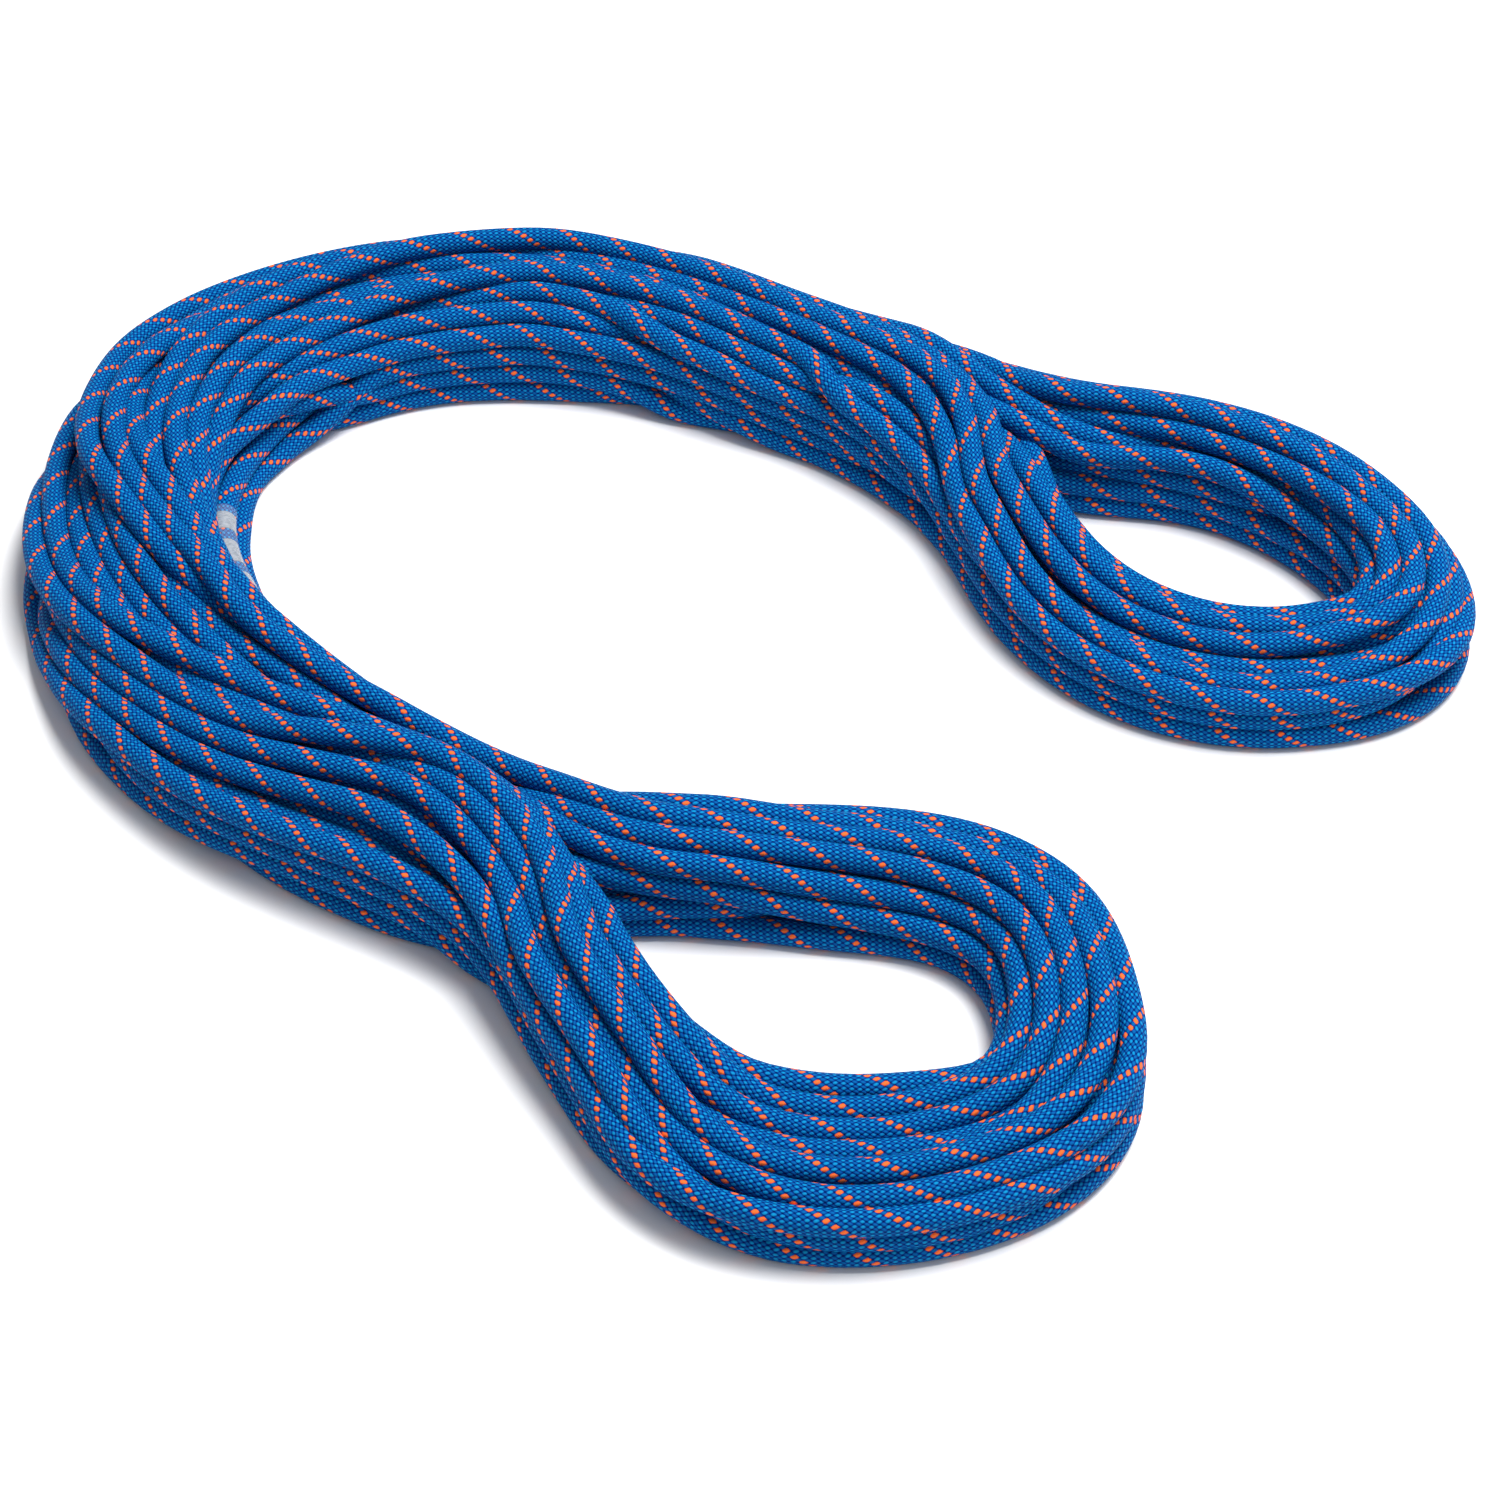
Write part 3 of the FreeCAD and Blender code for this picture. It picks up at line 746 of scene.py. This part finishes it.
def sleeve_rings(line, from_tip, profile):
    """Rings for (distance from the tip, radius) pairs. from_tip turns a distance into one on the line."""
    distances = [from_tip(d) for d, _ in profile]
    return line.ring(distances, [r for _, r in profile], END_SIDES)


def label_profile(start, length):
    """A film's (distance from the tip, radius) pairs, with edges that go down into the sheath."""
    low, high = INNER_END - start - length, INNER_END - start
    r = RADIUS + LABEL_WALL
    flat = [(d, r) for d in np.linspace(low + LABEL_BEVEL, high - LABEL_BEVEL, 8)]
    sunk, shoulder = RADIUS - SUNK, r - LABEL_DROP
    return [(low, sunk), (low, shoulder), *flat, (high, shoulder), (high, sunk)]


def sleeve_profile():
    """The sleeve's pairs, with a rounded edge at the tip. Its inner end thins out onto the sheath."""
    r = RADIUS + LABEL_WALL + SLEEVE_WALL
    flat = [(d, r) for d in np.linspace(TIP_LENGTH + OUTER_BEVEL, INNER_END - INNER_BEVEL, 24)]
    outer_edge = [(TIP_LENGTH, RADIUS - SLEEVE_SUNK), (TIP_LENGTH, r - SLEEVE_DROP)]
    return outer_edge + flat + [(INNER_END - INNER_LIP, r - SLEEVE_DROP), (INNER_END, RADIUS)]


def tip_profile():
    """The fused tip's pairs, from its edge on the sheath round to the middle of its face."""
    full = RADIUS + TIP_OVERHANG
    out = [(TIP_LENGTH + TIP_EDGE, RADIUS - SUNK), (TIP_LENGTH + TIP_SHOULDER, full)]
    out += [(d, full) for d in np.linspace(TIP_LENGTH - TIP_LAP, TIP_ROUNDING, 4)]
    for angle in np.radians(np.linspace(12, 78, 6)):
        out.append((TIP_ROUNDING * (1 - math.sin(angle)), full - TIP_ROUNDING * (1 - math.cos(angle))))
    return out + [(0.0, full - TIP_ROUNDING), *TIP_FACE]


def add_end(name, line, from_tip):
    """The labels, sleeve and tip of one end: (piece, CAD node, meshes, material slot) of each."""
    meshes = []
    for k, (start, length) in enumerate(LABELS):
        band = label_profile(start, length)
        rings = sleeve_rings(line, from_tip, band)
        meshes.append(tube_mesh(f"{name}_label_{k}", rings, len(band), ("rope",)))
    pieces = [(f"{name}_labels", f"{name}_printed_labels", meshes, "label_film")]
    sleeve = sleeve_profile()
    mesh = tube_mesh(f"{name}_sleeve", sleeve_rings(line, from_tip, sleeve), len(sleeve), ("rope",), False)
    pieces.append((f"{name}_film", f"{name}_clear_sleeve", [mesh], "shrink_sleeve"))
    tip = tip_profile()
    mesh = tube_mesh(f"{name}_tip", sleeve_rings(line, from_tip, tip), len(tip), ("rope",))
    pieces.append((f"{name}_tip", f"{name}_fused_tip", [mesh], "fused_tip"))
    return pieces


def merged(name, meshes):
    """One mesh from several."""
    whole = bmesh.new()
    for mesh in meshes:
        whole.from_mesh(mesh)
        bpy.data.meshes.remove(mesh)
    bmesh.ops.recalc_face_normals(whole, faces=whole.faces)
    out = bpy.data.meshes.new(name)
    whole.to_mesh(out)
    whole.free()
    return out


line = Line(nurbs_line(rope_points()), TILE / RINGS_PER_TILE)
top = line.points[:, 2].max() + RADIUS
print("rope length", round(line.length, 4), "m, rings", line.count, "top", round(top, 4))

materials = {
    "rope_sheath": sheath_material(),
    "label_film": label_material(),
    "shrink_sleeve": sleeve_material(),
    "fused_tip": tip_material(),
}
ENDS = (("labelled_end", lambda d: d), ("plain_end", lambda d: line.length - d))
for name, from_tip in ENDS:
    for piece_name, node, meshes, slot in add_end(name, line, from_tip):
        add_piece(piece_name, merged(piece_name, meshes), materials[slot], [node])

kept_ends = TIP_LENGTH - TIP_LAP
inside = line.at[(line.at > kept_ends) & (line.at < line.length - kept_ends)]
rings = line.ring(inside, np.full(len(inside), RADIUS), SIDES)
hidden = ["hank"]
for name, _ in ENDS:
    hidden += [f"{name}_sheath", f"{name}_marker_tape"]
    hidden += [f"{name}_core_strand_{k:02d}" for k in range(1, 13)]
mesh = tube_mesh("rope", rings, RINGS_PER_TILE, ("rope", "OFBake"))
rope = add_piece("rope", mesh, materials["rope_sheath"], hidden)

# ---------------------------------------------------------------- floor and light

FLOOR_SIZE = 6.0


def add_floor():
    mesh = bpy.data.meshes.new("floor")
    s = FLOOR_SIZE / 2
    mesh.from_pydata([(-s, -s, 0), (s, -s, 0), (s, s, 0), (-s, s, 0)], [], [(0, 1, 2, 3)])
    floor = bpy.data.objects.new("floor", mesh)
    bpy.context.scene.collection.objects.link(floor)
    n = Nodes("floor")
    n.set(Base_Color=(0.92, 0.92, 0.92, 1), Roughness=0.9, Specular_IOR_Level=0.1)
    mesh.materials.append(n.material)


def add_light(name, place, size, power):
    data = bpy.data.lights.new(name, "AREA")
    data.shape = "RECTANGLE"
    data.size, data.size_y = size
    data.energy = power
    light = bpy.data.objects.new(name, data)
    light.location = place
    light.rotation_euler = (-Vector(place)).to_track_quat("-Z", "Y").to_euler()
    bpy.context.scene.collection.objects.link(light)


def add_world(strength):
    world = bpy.data.worlds.new("world")
    world.use_nodes = True
    background = world.node_tree.nodes["Background"]
    background.inputs[0].default_value = (1, 1, 1, 1)
    background.inputs[1].default_value = strength
    bpy.context.scene.world = world


add_floor()
add_light("key", (0.5, 0.15, 1.75), (1.0, 0.8), 50)
add_light("fill", (0.9, -1.2, 1.3), (1.6, 1.2), 4)
add_world(0.33)
bpy.context.scene.view_settings.view_transform = "Standard"
